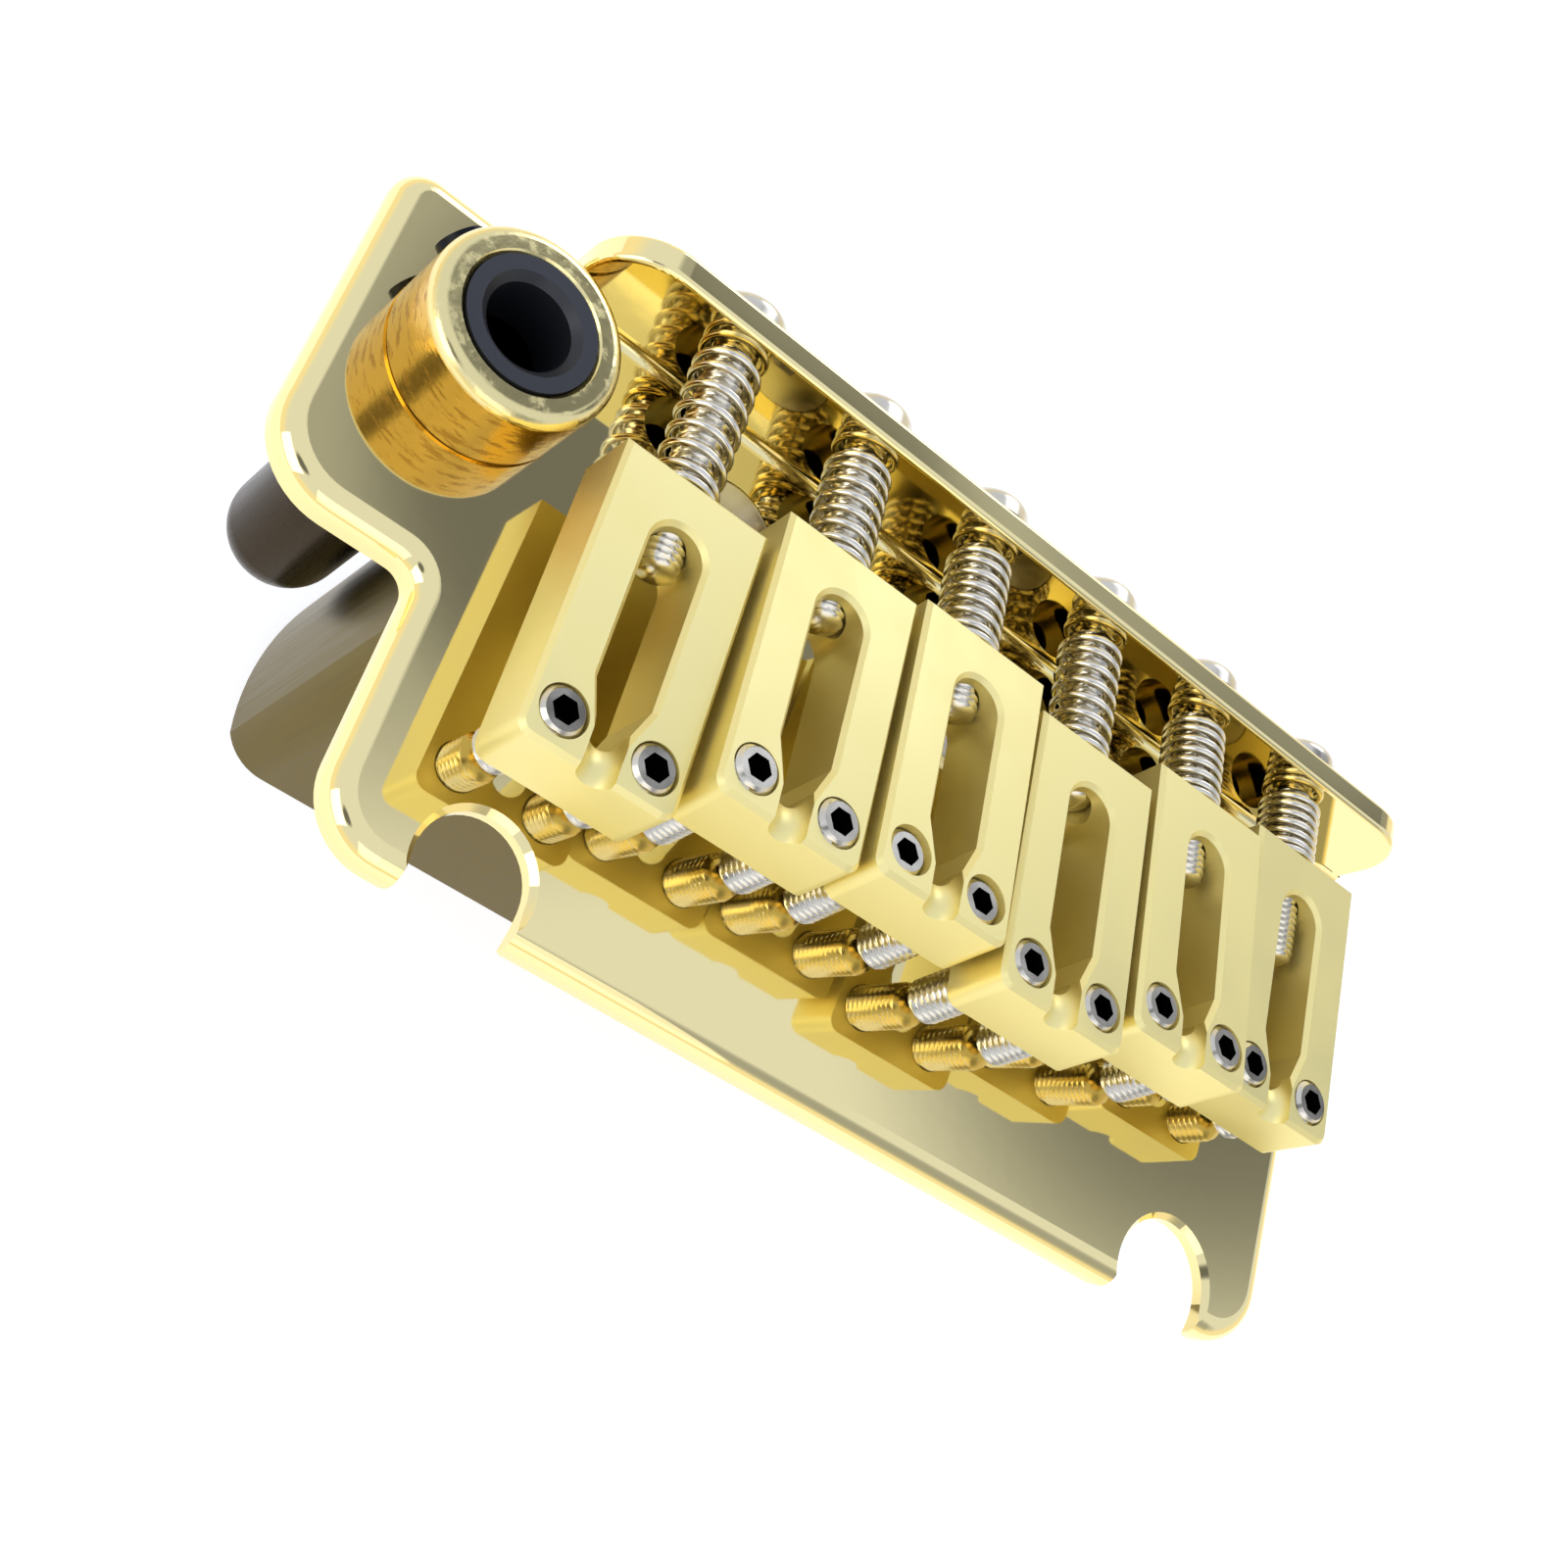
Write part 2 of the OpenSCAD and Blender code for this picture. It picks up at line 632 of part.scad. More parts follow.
module saddle(k) {
    color(gold) on_string(k) translate([0, -saddle_reach[k], -saddle_hole_up]) difference() {
        linear_extrude(saddle_h) saddle_plan();
        translate([0, 0, -1]) linear_extrude(saddle_h + 2) slot_plan();
        translate([0, slot_front / 2, saddle_h - groove_depth - groove_bend_r]) groove_cutter();
        translate([0, 0, saddle_h]) saddle_bevels();
        for (s = [-1, 1]) translate([s * height_screw_side, height_screw_back, -1])
            cylinder(r = height_screw_r + hole_gap, h = saddle_h + 2);
        translate([0, slot_back - slot_w, saddle_hole_up]) rotate([-90, 0, 0])
            cylinder(r = intonation_r + hole_gap, h = saddle_len);
    }
}

// Screws of the saddles

module height_screw(k, side) {
    dome = foot_r - sqrt(foot_r * foot_r - height_screw_r * height_screw_r);
    len = height_screw_len[k];
    color(steel) on_string(k)
        translate([side * height_screw_side, -foot_run(k), foot_level(k)]) difference() {
            union() {
                translate([0, 0, dome]) cylinder(r = height_screw_r, h = len - dome);
                intersection() {
                    translate([0, 0, foot_r]) sphere(foot_r);
                    cylinder(r = height_screw_r, h = dome + eps);
                }
            }
            translate([0, 0, len - height_key_depth])
                cylinder(d = height_key / cos(30), h = height_key_depth + 1, $fn = 6);
        }
}

module intonation_screw(k) {
    seat = flange_half(k, intonation_head_r) + head_gap;
    color(steel) on_string(k) translate([0, seat, 0]) rotate([-90, 0, 0]) difference() {
        union() {
            translate([0, 0, -intonation_len[k]])
                cylinder(r = intonation_r, h = intonation_len[k] + eps);
            cylinder(r = intonation_head_r, h = intonation_head_h / 2);
            translate([0, 0, intonation_head_h / 2])
                cylinder(r1 = intonation_head_r, r2 = intonation_flat_r, h = intonation_head_h / 2);
        }
        for (a = [0, 90]) rotate([0, 0, a])
            translate([-cross_len / 2, -cross_w / 2, intonation_head_h - cross_depth])
                cube([cross_len, cross_w, cross_depth + 1]);
    }
}

// Springs: one unbroken wire each, wound from a formula

// Number of coils that fit with the least open space between them
bend_step = 0.45;
end_run = spring_wire + bend_step;
function coils(room) =
    max(2, min(spring_coils, floor((room - 2 * end_run) / (spring_wire + coil_gap))));
// A ring of the wire: its middle, its heading and the outward direction across it
function wire_path(room) =
    let (n = coils(room), steps = n * coil_steps, climb = room - 2 * end_run, r = spring_mean_r)
    concat(
        [for (z = [0, spring_wire]) [[r, -bend_step, z], [0, 0, 1], [1, 0, 0]]],
        [[[r, -bend_step * 0.3, spring_wire + bend_step * 0.7], [0, 0.7, 0.7], [1, 0, 0]]],
        [for (i = [0:steps]) let (a = i * 360 / coil_steps, p = end_run + climb * i / steps)
            [[r * cos(a), r * sin(a), p], [-sin(a), cos(a), 0], [cos(a), sin(a), 0]]],
        [[[r, bend_step * 0.7, room - spring_wire - bend_step * 0.3], [0, 0.7, 0.7], [1, 0, 0]]],
        [for (z = [spring_wire, 0]) [[r, bend_step, room - z], [0, 0, 1], [1, 0, 0]]]
    );
function wire_ring(s) =
    let (t = s[1] / norm(s[1]), side = cross(t, s[2]), step = 360 / wire_sides)
    [for (j = [0:wire_sides - 1])
        s[0] + spring_wire / 2 * (cos(step * j) * s[2] + sin(step * j) * side)];
function wire_faces(n) =
    let (w = wire_sides)
    concat(
        [for (i = [0:n - 2], j = [0:w - 1]) [w * i + j, w * i + (j + 1) % w, w * (i + 1) + j]],
        [for (i = [0:n - 2], j = [0:w - 1])
            [w * i + (j + 1) % w, w * (i + 1) + (j + 1) % w, w * (i + 1) + j]],
        [for (j = [1:w - 2]) [0, j + 1, j]],
        [for (j = [1:w - 2]) [w * (n - 1), w * (n - 1) + j, w * (n - 1) + j + 1]]
    );
// Least distance between the surfaces of turns that are not neighbours along the wire
function self_gap(path) = min([for (i = [0:len(path) - 1]) for (j = [i + 5:1:len(path) - 1])
    norm(path[i][0] - path[j][0]) - spring_wire]);

module intonation_spring(k) {
    path = wire_path(spring_room(k));
    echo(str("spring ", k + 1, ": ", coils(spring_room(k)), " coils, least gap to itself ",
        self_gap(path), " mm"));
    color(steel) on_string(k) translate([0, -spring_start(k), 0]) rotate([90, 0, 0])
        polyhedron(points = [for (s = path) each wire_ring(s)], faces = wire_faces(len(path)));
}

base_plate();
tremolo_block();
block_screws();
arm_tube();
arm_collar();
arm_bush();
arm_set_screw();
saddle(0);  // saddle_1
saddle(1);  // saddle_2
saddle(2);  // saddle_3
saddle(3);  // saddle_4
saddle(4);  // saddle_5
saddle(5);  // saddle_6
intonation_screw(0);  // intonation_screw_1
intonation_screw(1);  // intonation_screw_2
intonation_screw(2);  // intonation_screw_3
intonation_screw(3);  // intonation_screw_4
intonation_screw(4);  // intonation_screw_5
intonation_screw(5);  // intonation_screw_6
intonation_spring(0);  // intonation_spring_1
intonation_spring(1);  // intonation_spring_2
intonation_spring(2);  // intonation_spring_3
intonation_spring(3);  // intonation_spring_4
intonation_spring(4);  // intonation_spring_5
intonation_spring(5);  // intonation_spring_6
height_screw(0, -1);  // height_screw_treble_1
height_screw(1, -1);  // height_screw_treble_2
height_screw(2, -1);  // height_screw_treble_3
height_screw(3, -1);  // height_screw_treble_4
height_screw(4, -1);  // height_screw_treble_5
height_screw(5, -1);  // height_screw_treble_6
height_screw(0, 1);  // height_screw_bass_1
height_screw(1, 1);  // height_screw_bass_2
height_screw(2, 1);  // height_screw_bass_3
height_screw(3, 1);  // height_screw_bass_4
height_screw(4, 1);  // height_screw_bass_5
height_screw(5, 1);  // height_screw_bass_6
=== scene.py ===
# Looks of a tremolo bridge: a gold-plated plate with a brass block, six saddles and an arm socket
import json
from math import asin, atan2, cos, hypot, pi, radians, sin, tan
import bpy
from mathutils import Matrix, Vector


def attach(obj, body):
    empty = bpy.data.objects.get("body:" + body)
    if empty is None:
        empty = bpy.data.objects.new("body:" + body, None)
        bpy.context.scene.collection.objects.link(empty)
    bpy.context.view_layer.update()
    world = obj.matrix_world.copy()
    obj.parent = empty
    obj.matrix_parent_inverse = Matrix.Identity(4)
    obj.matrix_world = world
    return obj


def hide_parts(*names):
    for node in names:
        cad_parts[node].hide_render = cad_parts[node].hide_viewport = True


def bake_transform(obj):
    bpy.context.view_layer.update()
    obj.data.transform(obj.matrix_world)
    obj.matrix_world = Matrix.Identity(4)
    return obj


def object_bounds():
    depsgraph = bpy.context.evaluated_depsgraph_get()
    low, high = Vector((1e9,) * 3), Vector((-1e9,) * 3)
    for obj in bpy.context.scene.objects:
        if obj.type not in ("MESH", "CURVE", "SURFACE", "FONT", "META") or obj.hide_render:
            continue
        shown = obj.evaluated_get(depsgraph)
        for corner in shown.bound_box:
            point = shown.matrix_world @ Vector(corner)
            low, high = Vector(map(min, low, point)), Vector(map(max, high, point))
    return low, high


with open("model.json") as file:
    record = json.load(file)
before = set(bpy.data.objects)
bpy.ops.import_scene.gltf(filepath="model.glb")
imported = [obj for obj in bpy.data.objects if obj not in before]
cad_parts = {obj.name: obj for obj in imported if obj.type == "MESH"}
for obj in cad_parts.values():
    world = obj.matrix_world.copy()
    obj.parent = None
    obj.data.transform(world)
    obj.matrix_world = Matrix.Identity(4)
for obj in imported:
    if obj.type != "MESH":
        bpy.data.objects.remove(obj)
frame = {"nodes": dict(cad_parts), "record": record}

packed_box = [list(corner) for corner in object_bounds()]
bodies = frame["record"]["behaviour"]["bodies"]
body_of_node = {node: body for body, members in bodies.items() for node in members}
strings = range(1, 7)

# Camera
# The part is photographed from close by, above its treble front corner, with a plain
# short lens, so the near saddles look larger than the far ones.
camera = bpy.data.objects.new("camera", bpy.data.cameras.new("camera"))
bpy.context.scene.collection.objects.link(camera)
camera.location = (-0.0624266, -0.0389236, 0.0888281)
camera.rotation_mode = "QUATERNION"
camera.rotation_quaternion = (0.91573856, 0.19113753, -0.28337468, 0.21115901)
camera.data.sensor_width = 36
camera.data.lens = 43.4496
camera.data.clip_start = 0.001
bpy.context.scene.camera = camera
bpy.context.scene.view_settings.view_transform = "Standard"

# Base plate
# One piece of 2.2 mm sheet, blanked, bent up at the rear, then copper, nickel and gold
# plated over a buffed surface. The buffing leaves rounded edges and a near mirror.


def linear(hex_colour):
    """A colour written in sRGB hex, as Blender's linear numbers."""
    parts = [int(hex_colour[i:i + 2], 16) / 255 for i in (1, 3, 5)]
    return tuple(p / 12.92 if p <= 0.04045 else ((p + 0.055) / 1.055) ** 2.4 for p in parts) + (1.0,)


def add_node(tree, kind, sockets=()):
    """Adds a node. An output is linked to its socket, and a value goes to a socket or an option."""
    made = tree.nodes.new(kind)
    for name, value in dict(sockets).items():
        if isinstance(value, bpy.types.NodeSocket):
            tree.links.new(value, made.inputs[name])
        elif isinstance(name, int) or name in made.inputs:
            made.inputs[name].default_value = value
        else:
            setattr(made, name, value)
    return made


def noise(tree, size, detail, roughness=0.5):
    """A noise with spots this many metres wide, or of three sizes along X, Y and Z."""
    place, scale = add_node(tree, "ShaderNodeTexCoord").outputs["Object"], 1.0
    if isinstance(size, tuple):
        stretch = tuple(1 / length for length in size)
        place = add_node(tree, "ShaderNodeMapping", {"Scale": stretch, "Vector": place}).outputs[0]
    else:
        scale = 1 / size
    return add_node(tree, "ShaderNodeTexNoise", {
        "Scale": scale, "Detail": detail, "Roughness": roughness, "Vector": place}).outputs[0]


def carry(tree, value, start, end, low, high, shape="LINEAR"):
    """Carries a value from the range start to end over to the range low to high."""
    return add_node(tree, "ShaderNodeMapRange", {
        "interpolation_type": shape, "From Min": start, "From Max": end,
        "To Min": low, "To Max": high, "Value": value}).outputs[0]


def mixed(tree, share, first, second):
    """The first colour where the share is 0 and the second where it is 1, in hex or as outputs."""
    ends = [linear(end) if isinstance(end, str) else end for end in (first, second)]
    return add_node(tree, "ShaderNodeMix", {
        "data_type": "RGBA", 0: share, 6: ends[0], 7: ends[1]}).outputs[2]


def bumped(tree, height, strength, depth):
    """Relief that is this many metres deep."""
    return add_node(tree, "ShaderNodeBump", {
        "Strength": strength, "Distance": depth, "Height": height}).outputs[0]


def new_finish(name):
    """An empty material and its tree."""
    finish = bpy.data.materials.new(name)
    finish.use_nodes = True
    finish.node_tree.nodes.clear()
    return finish, finish.node_tree


def end_finish(tree, colour, roughness, relief=None, metallic=1.0):
    """Gives a material its surface. The colour is in hex or an output."""
    sockets = {"Base Color": linear(colour) if isinstance(colour, str) else colour,
               "Metallic": metallic, "Roughness": roughness}
    if relief is not None:
        sockets["Normal"] = relief
    surface = add_node(tree, "ShaderNodeBsdfPrincipled", sockets)
    add_node(tree, "ShaderNodeOutputMaterial", {"Surface": surface.outputs[0]})


def coat(node, finish):
    """Gives a CAD node its finish."""
    piece = frame["nodes"][node]
    for place in piece.material_slots:
        place.material = finish
    if not piece.material_slots:
        piece.data.materials.append(finish)


# Nearly all of a noise lies between these two values
noise_low, noise_high = 0.3, 0.7

# Gold plate buffed to a near mirror: yellow reflections, softened in patches 12 mm wide
# where the cloth left a haze, over ripples 1.5 mm long that bend the reflected lines.
polished_gold, tree = new_finish("mirror_polished_gold_plate")
gloss = carry(tree, noise(tree, 0.012, 3.0), noise_low, noise_high, 0.03, 0.06)
relief = bumped(tree, noise(tree, 0.0015, 1.0), 0.12, 0.00001)
end_finish(tree, "#FAE7A2", gloss, relief)
coat("base_plate", polished_gold)

# Tremolo block
# A solid brass bar drilled for the strings, ground on a belt and lightly plated, so its
# sides keep fine upright lines. Three countersunk steel screws hold it to the plate.

# Ground brass: dull olive yellow, darkened all over as painted shade for the block that
# hangs under the plate, with belt lines 0.15 mm apart and 12 mm long
shaded_ground_brass, tree = new_finish("belt_ground_brass_shaded")
lines = noise(tree, (0.00015, 0.00015, 0.012), 3.0)
# Painted shade: both tones are darker than the brass itself, for the shade under the plate
tone = mixed(tree, lines, "#5E4F20", "#7C6C30")
gloss = carry(tree, lines, noise_low, noise_high, 0.28, 0.42)
end_finish(tree, tone, gloss, bumped(tree, lines, 0.25, 0.00002))
coat("tremolo_block", shaded_ground_brass)

# Plated steel of the screws: bright and a little warm, with stains some 2 mm across
screw_steel, tree = new_finish("zinc_plated_screw_steel")
stain = noise(tree, 0.002, 4.0)
tone = mixed(tree, stain, "#C6BDA4", "#E8E0CA")
end_finish(tree, tone, carry(tree, stain, noise_low, noise_high, 0.14, 0.26))
coat("block_screws", screw_steel)

# Arm socket
# A closed brass tube is screwed from below into a turned brass collar that stands on the
# wing and is gold plated. A black nylon bush in the collar grips the arm, and a black set
# screw presses on it.


def maths(tree, operation, *terms):
    """The result of a maths node on these numbers and outputs."""
    return add_node(tree, "ShaderNodeMath", {"operation": operation, **dict(enumerate(terms))}).outputs[0]


# Gold over turned brass: deep yellow with lathe lines that run round it, 0.15 mm apart and
# 1.2 mm long, browner streaks 1.6 mm long where the plating is thin, and dents 0.5 mm
# across. The buffed rim is paler than the wall, and the lowest 0.12 mm of the foot, at the
# seam with the plate, is painted dark brown as painted shade.
turned_gold, tree = new_finish("gold_over_turned_brass")
lines = noise(tree, (0.0012, 0.0012, 0.00015), 2.0)
streaks = noise(tree, (0.0016, 0.0016, 0.0005), 5.0, 0.65)
dents = noise(tree, 0.0005, 2.0)
worn = carry(tree, streaks, 0.5, 0.62, 0.0, 1.0, "SMOOTHSTEP")
wall = mixed(tree, worn, "#E0B352", "#B68A38")
object_place = add_node(tree, "ShaderNodeTexCoord").outputs["Object"]
level = add_node(tree, "ShaderNodeSeparateXYZ", {0: object_place}).outputs[2]
foot_top, wall_top, rim_start = 0.00012, 0.0050, 0.0054
# Painted shade: the foot of the collar, at its seam with the plate, is painted dark brown
foot = maths(tree, "LESS_THAN", level, foot_top)
with_seam_shade = mixed(tree, foot, wall, "#5A421C")
rim = carry(tree, level, wall_top, rim_start, 0.0, 1.0, "SMOOTHSTEP")
tone = mixed(tree, rim, with_seam_shade, "#F0DE9A")
gloss = carry(tree, worn, 0.0, 1.0, 0.16, 0.3)
end_finish(tree, tone, gloss, bumped(tree, maths(tree, "ADD", lines, dents), 0.35, 0.00003))
coat("arm_collar", turned_gold)

# Brass painted near black brown as painted shade for the tube that hangs under the plate,
# with drawing lines 0.2 mm apart that run along the tube
shaded_tube_brass, tree = new_finish("tube_brass_painted_dark")
lines = noise(tree, (0.0002, 0.0002, 0.006), 2.0)
# Painted shade: the tube's near black brown stands in for the shade under the plate
tone = mixed(tree, lines, "#2A1F0A", "#3D2E10")
end_finish(tree, tone, carry(tree, lines, noise_low, noise_high, 0.22, 0.34))
coat("arm_tube", shaded_tube_brass)

# Turned nylon: black with a soft sheen, and a torn grain 0.3 mm wide that the tool leaves
black_nylon, tree = new_finish("turned_black_nylon")
relief = bumped(tree, noise(tree, 0.0003, 2.0), 0.3, 0.00002)
end_finish(tree, "#1C1D1F", 0.42, relief, metallic=0.0)
coat("arm_bush", black_nylon)

# Blackened steel: nearly black, with a low gloss that varies over 1 mm. It is also laid in
# the hex sockets of the height screws as painted shade.
black_steel_and_socket_shade, tree = new_finish("blackened_steel_and_socket_shade")
end_finish(tree, "#232325", carry(tree, noise(tree, 0.001, 3.0), noise_low, noise_high, 0.3, 0.45))
coat("arm_set_screw", black_steel_and_socket_shade)

# Saddles
# Six blocks milled from brass bar, blasted with fine beads and gold plated, so they look
# silky beside the plate. Each has a long slot for its string and a groove at the front.

# Gold over bead-blasted brass: pale yellow with a soft sheen. The beads leave dents about
# 0.1 mm wide, drawn 0.2 mm wide to show, and handling leaves glossier patches 6 mm wide
satin_gold, tree = new_finish("satin_gold_over_blasted_brass")
gloss = carry(tree, noise(tree, 0.006, 3.0), noise_low, noise_high, 0.44, 0.54)
relief = bumped(tree, noise(tree, 0.0002, 2.0), 0.25, 0.00001)
end_finish(tree, "#F7E89E", gloss, relief)
for string in strings:
    coat(f"saddle_{string}", satin_gold)

# Height screws
# Twelve headless M3 screws, two through the front of each saddle. They are rolled from
# steel, with a 1.5 mm hex socket on top and a rounded foot that stands on the plate.
string_spacing = 0.0108
middle_of_strings = 3.5
hinge_back = 0.036675
hole_up = 0.0043
saddle_reach = [0.0322, 0.0302, 0.0295, 0.031, 0.0285, 0.0267]
saddle_front_up = [0.0082, 0.0102, 0.0108, 0.0104, 0.0104, 0.0081]
above_hole = 0.0025
screw_radius = 0.0015
height_length = [0.008, 0.010, 0.010, 0.010, 0.010, 0.008]
height_side = 0.003
height_back = 0.00235
foot_radius = 0.0022
foot_gap = 0.00025


def string_frame(string):
    """Where string 1 to 6 has its flange hole, turned so that -Y runs along its screw."""
    reach, rise = saddle_reach[string - 1], saddle_front_up[string - 1] - hole_up
    tilt = asin(rise / hypot(reach, above_hole)) - atan2(above_hole, reach)
    x = (string - middle_of_strings) * string_spacing
    return Matrix.Translation((x, hinge_back, hole_up)) @ Matrix.Rotation(-tilt, 4, "X"), tilt


def new_tree(name, sizes):
    """An empty Geometry Nodes tree with these named inputs, and the outputs that give them."""
    made = bpy.data.node_groups.new(name, "GeometryNodeTree")
    for label, value in sizes.items():
        made.interface.new_socket(label, in_out="INPUT", socket_type="NodeSocketFloat").default_value = value
    made.interface.new_socket("Geometry", in_out="OUTPUT", socket_type="NodeSocketGeometry")
    return made, {socket.name: socket for socket in add_node(made, "NodeGroupInput").outputs}


def vector(tree, x=0.0, y=0.0, z=0.0):
    """Three numbers or outputs as one vector."""
    return add_node(tree, "ShaderNodeCombineXYZ", {0: x, 1: y, 2: z}).outputs[0]


def point_xyz(tree):
    """The X, Y and Z of each point."""
    point = add_node(tree, "GeometryNodeInputPosition").outputs[0]
    return add_node(tree, "ShaderNodeSeparateXYZ", {0: point}).outputs[:]


def dressed(tree, shape, finish):
    """Realizes a shape and gives it a material."""
    whole = add_node(tree, "GeometryNodeRealizeInstances", {0: shape}).outputs[0]
    return add_node(tree, "GeometryNodeSetMaterial", {"Geometry": whole, "Material": finish}).outputs[0]


def formed(name, form, sizes, place, sharp=35):
    """Runs a tree once with these sizes and keeps the result as a plain mesh in its place."""
    piece = bpy.data.objects.new(name, bpy.data.meshes.new(name))
    bpy.context.scene.collection.objects.link(piece)
    modifier = piece.modifiers.new("form", "NODES")
    modifier.node_group = form
    for socket in form.interface.items_tree:
        if socket.name in sizes:
            modifier[socket.identifier] = sizes[socket.name]
    bpy.context.view_layer.update()
    mesh = bpy.data.meshes.new_from_object(piece.evaluated_get(bpy.context.evaluated_depsgraph_get()))
    piece.modifiers.remove(modifier)
    mesh.transform(place)
    mesh.shade_smooth()
    mesh.set_sharp_from_angle(angle=radians(sharp))
    piece.data = mesh
    return piece


# The thread: a closed rod whose radius falls and rises once in each pitch as it turns.
# Tip is the radius of its round lower end, and Chamfer narrows its upper end.
rings_per_pitch = 6.0
crest_end, root_start = 0.08, 0.45
point_radius = 0.0003
thread, given = new_tree("rolled_thread", {
    "Radius": screw_radius, "Length": 0.01, "Pitch": 0.0005, "Depth": 0.00027, "Tip": foot_radius,
    "Chamfer": 0.0003})
turns = maths(thread, "DIVIDE", given["Length"], given["Pitch"])
rod = add_node(thread, "GeometryNodeMeshCylinder", {
    "Vertices": 28, "Side Segments": maths(thread, "MULTIPLY", turns, rings_per_pitch),
    "Radius": given["Radius"], "Depth": given["Length"]})
x, y, z = point_xyz(thread)
height = maths(thread, "ADD", z, maths(thread, "MULTIPLY", given["Length"], 0.5))
angle = maths(thread, "ARCTAN2", y, x)
turned = maths(thread, "DIVIDE", angle, 2 * pi)
climbed = maths(thread, "DIVIDE", height, given["Pitch"])
wave = maths(thread, "PINGPONG", maths(thread, "SUBTRACT", climbed, turned), 0.5)
# A flat crest and a narrow root, as a rolled thread has
flank = carry(thread, wave, crest_end, root_start, 0.0, 1.0)
crest = maths(thread, "SUBTRACT", given["Radius"], maths(thread, "MULTIPLY", flank, given["Depth"]))
left = maths(thread, "SUBTRACT", given["Length"], height)
neck = maths(thread, "SUBTRACT", given["Radius"], given["Chamfer"])
top = maths(thread, "ADD", left, neck)
deep = maths(thread, "SUBTRACT", given["Tip"], maths(thread, "MINIMUM", height, given["Tip"]))
tip_squared = maths(thread, "MULTIPLY", given["Tip"], given["Tip"])
ball_squared = maths(thread, "SUBTRACT", tip_squared, maths(thread, "MULTIPLY", deep, deep))
blunt = maths(thread, "MAXIMUM", maths(thread, "SQRT", ball_squared), point_radius)
radius = maths(thread, "MINIMUM", maths(thread, "MINIMUM", crest, blunt), top)
across = maths(thread, "MULTIPLY", maths(thread, "COSINE", angle), radius)
along = maths(thread, "MULTIPLY", maths(thread, "SINE", angle), radius)
rolled = add_node(thread, "GeometryNodeSetPosition", {
    "Geometry": rod.outputs["Mesh"], "Position": vector(thread, across, along, height)})
add_node(thread, "NodeGroupOutput", {0: rolled.outputs[0]})

# The headless screw: the thread with a hex socket cut into its top
socket_lip = 0.0001
grub, given = new_tree("headless_screw", {
    "Radius": screw_radius, "Length": 0.01, "Tip": foot_radius, "Key": 0.0015, "Key Depth": 0.0016})
shank = add_node(grub, "GeometryNodeGroup", {
    "node_tree": thread, "Radius": given["Radius"], "Length": given["Length"], "Tip": given["Tip"]})
corner = maths(grub, "MULTIPLY", given["Key"], 1 / 3 ** 0.5)
key = add_node(grub, "GeometryNodeMeshCylinder", {
    "Vertices": 6, "Radius": corner, "Depth": maths(grub, "MULTIPLY", given["Key Depth"], 2.0)})
raised = add_node(grub, "GeometryNodeTransform", {
    "Geometry": key.outputs["Mesh"], "Translation": vector(grub, z=given["Length"])})
drilled = add_node(grub, "GeometryNodeMeshBoolean", {
    "operation": "DIFFERENCE", "solver": "EXACT", "Mesh 1": shank.outputs[0], "Mesh 2": raised.outputs[0]})
plated = dressed(grub, drilled.outputs["Mesh"], screw_steel)
# The socket, laid in blackened steel as painted shade, is all that lies under the top and near the axis
x, y, z = point_xyz(grub)
below = maths(grub, "SUBTRACT", given["Length"], z)
half = maths(grub, "MULTIPLY", given["Key Depth"], 0.5)
inside = maths(grub, "COMPARE", below, maths(grub, "ADD", half, socket_lip), half)
apart = add_node(grub, "ShaderNodeVectorMath", {"operation": "LENGTH", 0: vector(grub, x, y)})
near = maths(grub, "LESS_THAN", apart.outputs["Value"], corner)
# Painted shade: the recess of each hex socket is painted nearly black
shaded_socket_faces = add_node(grub, "GeometryNodeSetMaterial", {
    "Geometry": plated, "Selection": maths(grub, "MULTIPLY", inside, near), "Material": black_steel_and_socket_shade})
add_node(grub, "NodeGroupOutput", {0: shaded_socket_faces.outputs[0]})

for string in strings:
    line, tilt = string_frame(string)
    run = saddle_reach[string - 1] - height_back
    level = (foot_gap + foot_radius - hole_up - run * sin(tilt)) / cos(tilt) - foot_radius
    for side, name in ((-1, "treble"), (1, "bass")):
        place = line @ Matrix.Translation((side * height_side, -run, level))
        piece = formed(f"height_thread_{name}_{string}", grub, {"Length": height_length[string - 1]}, place)
        node = f"height_screw_{name}_{string}"
        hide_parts(node)
        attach(piece, body_of_node[node])

# Intonation screws
# A pan-head M3 screw runs from behind the flange through its hole and spring into each
# saddle. The head has a cross recess, and turning it draws the saddle back.
screw_length = [0.019, 0.016, 0.016, 0.016, 0.016, 0.016]
head_radius = 0.00275
head_gap = 0.00015
flange_thickness = 0.00205

cross_head, given = new_tree("pan_head_screw", {
    "Radius": screw_radius, "Length": 0.016, "Head Radius": head_radius, "Head Height": 0.002,
    "Recess Width": 0.0007, "Recess Length": 0.003, "Recess Depth": 0.0012})
# The shank hangs below the head, and its thread runs up a little way into it
shank_overlap = 0.0003
shank = add_node(cross_head, "GeometryNodeGroup", {
    "node_tree": thread, "Tip": foot_radius, "Radius": given["Radius"],
    "Length": maths(cross_head, "ADD", given["Length"], shank_overlap)})
drop = vector(cross_head, z=maths(cross_head, "MULTIPLY", given["Length"], -1.0))
hung = add_node(cross_head, "GeometryNodeTransform", {"Geometry": shank.outputs[0], "Translation": drop})
